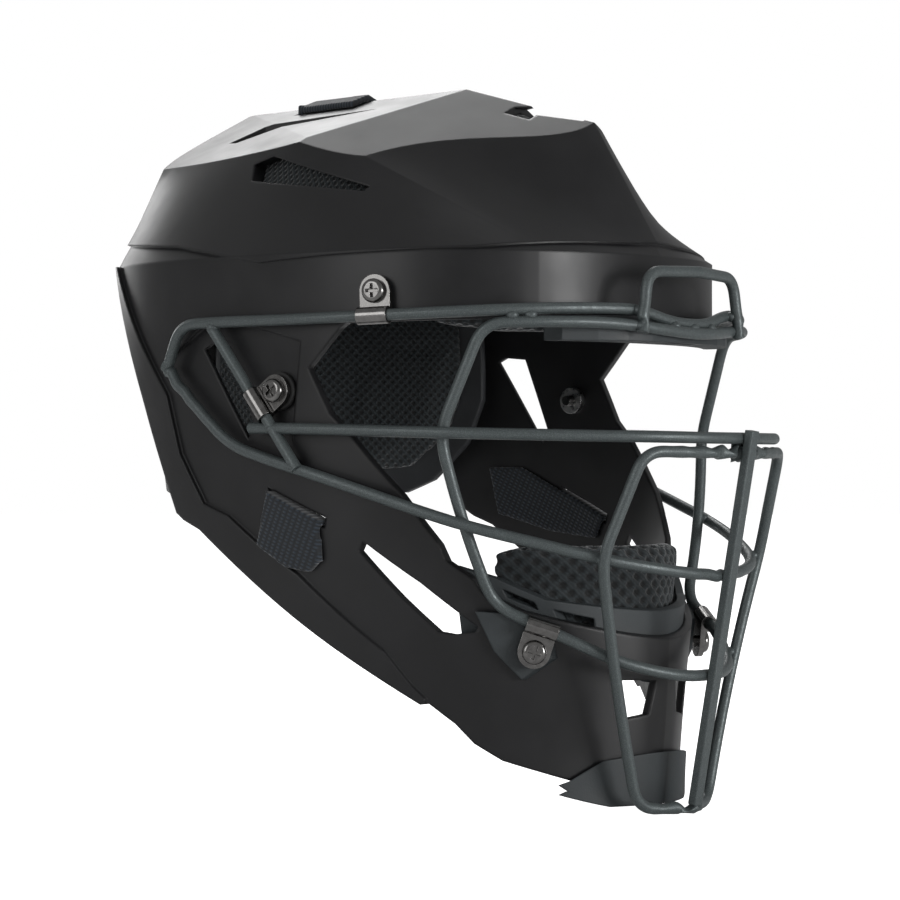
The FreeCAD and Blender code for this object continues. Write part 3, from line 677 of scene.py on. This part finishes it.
def add_camera():
    """Camera at the three-quarter front view."""
    level = math.cos(VIEW_ELEVATION)
    back = Vector((math.sin(VIEW_AZIMUTH) * level, -math.cos(VIEW_AZIMUTH) * level,
                   math.sin(VIEW_ELEVATION)))
    lens = bpy.data.cameras.new("camera")
    lens.sensor_width = SENSOR_WIDTH
    lens.lens = LENS
    camera = bpy.data.objects.new("camera", lens)
    camera.location = VIEW_TARGET + back * VIEW_DISTANCE
    camera.rotation_mode = "QUATERNION"
    camera.rotation_quaternion = (-back).to_track_quat("-Z", "Y")
    bpy.context.scene.collection.objects.link(camera)
    bpy.context.scene.camera = camera


def add_floor():
    """Wide plain pale floor under the lowest point."""
    shape = bmesh.new()
    level = Matrix.Translation((0.0, 0.0, CAD_BOX[0].z - FLOOR_GAP))
    bmesh.ops.create_circle(shape, cap_ends=True, radius=FLOOR_RADIUS, segments=96, matrix=level)
    mesh = bpy.data.meshes.new("floor")
    shape.to_mesh(mesh)
    shape.free()
    floor = bpy.data.objects.new("floor", mesh)
    bpy.context.scene.collection.objects.link(floor)
    material, nodes, links, shader = new_material("floor_finish")
    fine = add_noise(nodes, links, object_coords(nodes), 30.0, 4.0)
    links.new(add_ramp(nodes, links, fine, (0.90, 0.90, 0.90), (0.94, 0.94, 0.94)),
              shader.inputs["Base Color"])
    shader.inputs["Roughness"].default_value = 0.9
    shader.inputs["Emission Color"].default_value = (1.0, 1.0, 1.0, 1.0)
    path = nodes.new("ShaderNodeLightPath")
    links.new(add_range(nodes, links, path.outputs["Is Camera Ray"], 0.0, FLOOR_GLOW),
              shader.inputs["Emission Strength"])
    mesh.materials.append(material)


def add_world():
    """Even pale surround."""
    world = bpy.data.worlds.new("surround")
    world.use_nodes = True
    nodes = world.node_tree.nodes
    links = world.node_tree.links
    seen = nodes["Background"]
    seen.inputs["Color"].default_value = (1.0, 1.0, 1.0, 1.0)
    seen.inputs["Strength"].default_value = SURROUND_SEEN
    felt = nodes.new("ShaderNodeBackground")
    felt.inputs["Color"].default_value = (1.0, 1.0, 1.0, 1.0)
    felt.inputs["Strength"].default_value = SURROUND_FILL
    path = nodes.new("ShaderNodeLightPath")
    choice = nodes.new("ShaderNodeMixShader")
    links.new(path.outputs["Is Camera Ray"], choice.inputs["Fac"])
    links.new(felt.outputs["Background"], choice.inputs[1])
    links.new(seen.outputs["Background"], choice.inputs[2])
    links.new(choice.outputs["Shader"], nodes["World Output"].inputs["Surface"])
    bpy.context.scene.world = world


class HELMET_OT_stage(bpy.types.Operator):
    """Set the camera, floor, surround and soft boxes"""

    bl_idname = "helmet.stage"
    bl_label = "Stage"

    def execute(self, context):
        add_camera()
        add_floor()
        add_world()
        for name, place, side, power in SOFT_BOXES:
            soft_light(name, place, side, power)
        context.scene.view_settings.view_transform = "Standard"
        return {"FINISHED"}


class HELMET_PT_panel(bpy.types.Panel):
    """Sidebar panel with every step"""

    bl_idname = "HELMET_PT_panel"
    bl_label = "Catcher Helmet"
    bl_space_type = "VIEW_3D"
    bl_region_type = "UI"
    bl_category = "Helmet"

    def draw(self, context):
        for step in STEPS:
            self.layout.operator(step.bl_idname)
        for group in (context.scene.helmet_sizes, context.scene.helmet_colours):
            for name in group.__annotations__:
                self.layout.prop(group, name)


STEPS = (HELMET_OT_hard_parts, HELMET_OT_welds, HELMET_OT_chin_cushion, HELMET_OT_head_pads,
         HELMET_OT_straps, HELMET_OT_stage)
CLASSES = (HelmetSizes, HelmetColours, *STEPS, HELMET_PT_panel)


def register():
    for item in CLASSES:
        bpy.utils.register_class(item)
    bpy.types.Scene.helmet_sizes = PointerProperty(type=HelmetSizes)
    bpy.types.Scene.helmet_colours = PointerProperty(type=HelmetColours)


def unregister():
    del bpy.types.Scene.helmet_colours
    del bpy.types.Scene.helmet_sizes
    for item in reversed(CLASSES):
        bpy.utils.unregister_class(item)


def main():
    register()
    bpy.ops.helmet.hard_parts()
    bpy.ops.helmet.welds()
    bpy.ops.helmet.chin_cushion()
    bpy.ops.helmet.head_pads()
    bpy.ops.helmet.straps()
    bpy.ops.helmet.stage()


if __name__ == "__main__":
    main()
